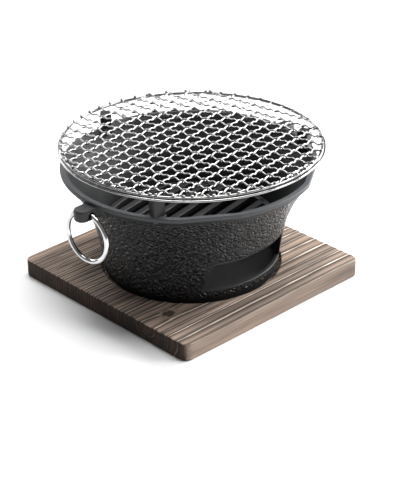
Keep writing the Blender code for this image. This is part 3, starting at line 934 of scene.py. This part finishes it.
def mesh_wire_path(index, place, crossing_offset, over_first):
    """Centre line along x at distance place, its ends bent over the inner ring.

    The wire is crimped three half waves to a mesh, so it also dips and rises between crossings.
    """
    ring_x = math.sqrt(INNER_RING**2 - place**2)
    end_x = ring_x + INNER_WIRE * WIRE_END_REACH
    over = INNER_WIRE + MESH_WIRE + WIRE_CLEAR
    ramp = WIRE_RAMP
    count = int(2 * end_x / MESH_STEP)
    crest = 1 if (index + over_first) % 2 else -1
    points = []
    for i in range(count + 1):
        x = -end_x + 2 * end_x * i / count
        phase = (x - crossing_offset) / MESH_PITCH
        wave = MESH_WAVE * math.cos(math.pi * phase)
        wave += MESH_CRIMP * math.cos(3.0 * math.pi * phase)
        z = crest * wave
        beyond = abs(x) - ring_x
        if beyond > -ramp:
            share = min(1.0, (beyond + ramp) / ramp)
            blend = share * share * (3 - 2 * share)
            z = z * (1 - blend) + over * blend
        if beyond > 0:
            share = beyond / (end_x - ring_x)
            z = over * (1.0 - WIRE_END_DIP * share**2)
        points.append(Vector((x, place, z)))
    return points


def build_net(steel):
    """Both rings and every wire of the weave, each its own piece."""
    build_net_ring("net_outer_hoop", OUTER_RING, OUTER_WIRE, OUTER_DROP, "net_outer_ring", steel)
    build_net_ring("net_inner_hoop", INNER_RING, INNER_WIRE, 0.0, "net_inner_ring", steel)
    reach = INNER_RING - INNER_WIRE - GAP - MESH_PITCH / 5
    along_offset, across_offset = MESH_OFFSETS
    families = (
        ("along", 0.0, along_offset, across_offset, 0),
        ("across", math.pi / 2, across_offset, along_offset, 1),
    )
    for family, quarter, offset, crossing_offset, over_first in families:
        turn = net_place() @ Matrix.Rotation(MESH_TURN + quarter, 4, "Z")
        for number, (index, place) in enumerate(lattice(offset, reach), start=1):
            path = mesh_wire_path(index, place, crossing_offset, over_first)
            if quarter:
                path = [Vector((p.x, -p.y, p.z)) for p in path]
            bm = tube([turn @ p for p in path], MESH_WIRE, 10)
            name = f"net_wire_{family}_{number:02d}"
            add_piece(f"crimped_{family}_{number:02d}", bm, steel, "net", [name])


# --- studio ------------------------------------------------------------------------------


def add_floor():
    bm = bmesh.new()
    bmesh.ops.create_grid(bm, x_segments=8, y_segments=8, size=6.0)
    mesh = bpy.data.meshes.new("studio_floor")
    bm.to_mesh(mesh)
    bm.free()
    mesh.materials.append(pale_floor())
    floor = bpy.data.objects.new("studio_floor", mesh)
    bpy.context.scene.collection.objects.link(floor)


def add_softbox(name, location, target, size, power):
    """White rectangular light aimed at target."""
    light = bpy.data.lights.new(name, "AREA")
    light.shape = "RECTANGLE"
    light.size, light.size_y = size
    light.energy = power
    obj = bpy.data.objects.new(name, light)
    obj.location = location
    aim = Vector(target) - Vector(location)
    obj.rotation_euler = aim.to_track_quat("-Z", "Y").to_euler()
    bpy.context.scene.collection.objects.link(obj)


def add_lights():
    """White surround that lights the object only dimly, and four softboxes."""
    world = bpy.data.worlds.new("studio")
    world.use_nodes = True
    tree = world.node_tree
    background = tree.nodes["Background"]
    background.inputs["Color"].default_value = (0.93, 0.94, 0.95, 1.0)
    seen = tree.nodes.new("ShaderNodeLightPath").outputs["Is Camera Ray"]
    strength = tree.nodes.new("ShaderNodeMapRange")
    strength.inputs["To Min"].default_value = 0.19
    strength.inputs["To Max"].default_value = 1.0
    tree.links.new(seen, strength.inputs["Value"])
    tree.links.new(strength.outputs["Result"], background.inputs["Strength"])
    bpy.context.scene.world = world
    add_softbox("top_box", (0.25, 0.15, 1.50), (0.0, 0.0, 0.05), (1.2, 0.9), 30.0)
    add_softbox("key_box", (0.95, -1.15, 0.80), (0.0, 0.0, 0.06), (0.5, 0.6), 16.0)
    add_softbox("side_box", (1.35, -0.30, 0.75), (0.0, 0.0, 0.08), (0.38, 0.42), 38.0)
    add_softbox("back_box", (0.30, 1.60, 0.75), (0.0, 0.0, 0.10), (1.4, 0.6), 12.0)


def add_camera():
    """Camera at the photograph's angle, a little tilted about its own line of sight."""
    azimuth, elevation, roll = (math.radians(a) for a in CAMERA_TURN)
    right = Vector((math.cos(azimuth), math.sin(azimuth), 0.0))
    level = math.cos(elevation)
    back = Vector((math.sin(azimuth) * level, -math.cos(azimuth) * level, math.sin(elevation)))
    up = back.cross(right)
    across = math.cos(roll) * right + math.sin(roll) * up
    above = -math.sin(roll) * right + math.cos(roll) * up
    turn = Matrix((across, above, back)).transposed().to_4x4()
    data = bpy.data.cameras.new("camera")
    data.lens = CAMERA_LENS
    data.sensor_width = 36.0
    camera = bpy.data.objects.new("camera", data)
    camera.matrix_world = Matrix.Translation(CAMERA_PLACE) @ turn
    bpy.context.scene.collection.objects.link(camera)
    bpy.context.scene.camera = camera


def main():
    dark, light = (0.0028, 0.0032, 0.0040), (0.0050, 0.0055, 0.0066)
    bowl_iron = cast_iron("pebbled_iron", dark, light, 0.34, 0.00004, pebbled=True)
    dark, light = (0.010, 0.0105, 0.0115), (0.016, 0.0165, 0.018)
    smooth_iron = cast_iron("smooth_iron", dark, light, 0.46, 0.00005)
    dark, light = (0.014, 0.014, 0.015), (0.022, 0.022, 0.023)
    grate_iron = cast_iron("grate_iron_coat", dark, light, 0.44, 0.00008)
    chrome = bright_metal("bright_chrome", (0.74, 0.74, 0.75), 0.09, 0.000002)
    steel = bright_metal("bright_wire", (0.37, 0.37, 0.365), 0.19, 0.000004)
    build_board()
    build_bowl(bowl_iron)
    build_ledge(smooth_iron)
    build_posts(smooth_iron)
    build_lug("left_lug", -1, smooth_iron)
    build_lug("right_lug", 1, smooth_iron)
    build_handle("ring_handle_left", -1, chrome)
    build_handle("ring_handle_right", 1, chrome)
    build_grate(grate_iron)
    build_net(steel)
    add_floor()
    add_lights()
    add_camera()
    bpy.context.scene.view_settings.view_transform = "Standard"


main()
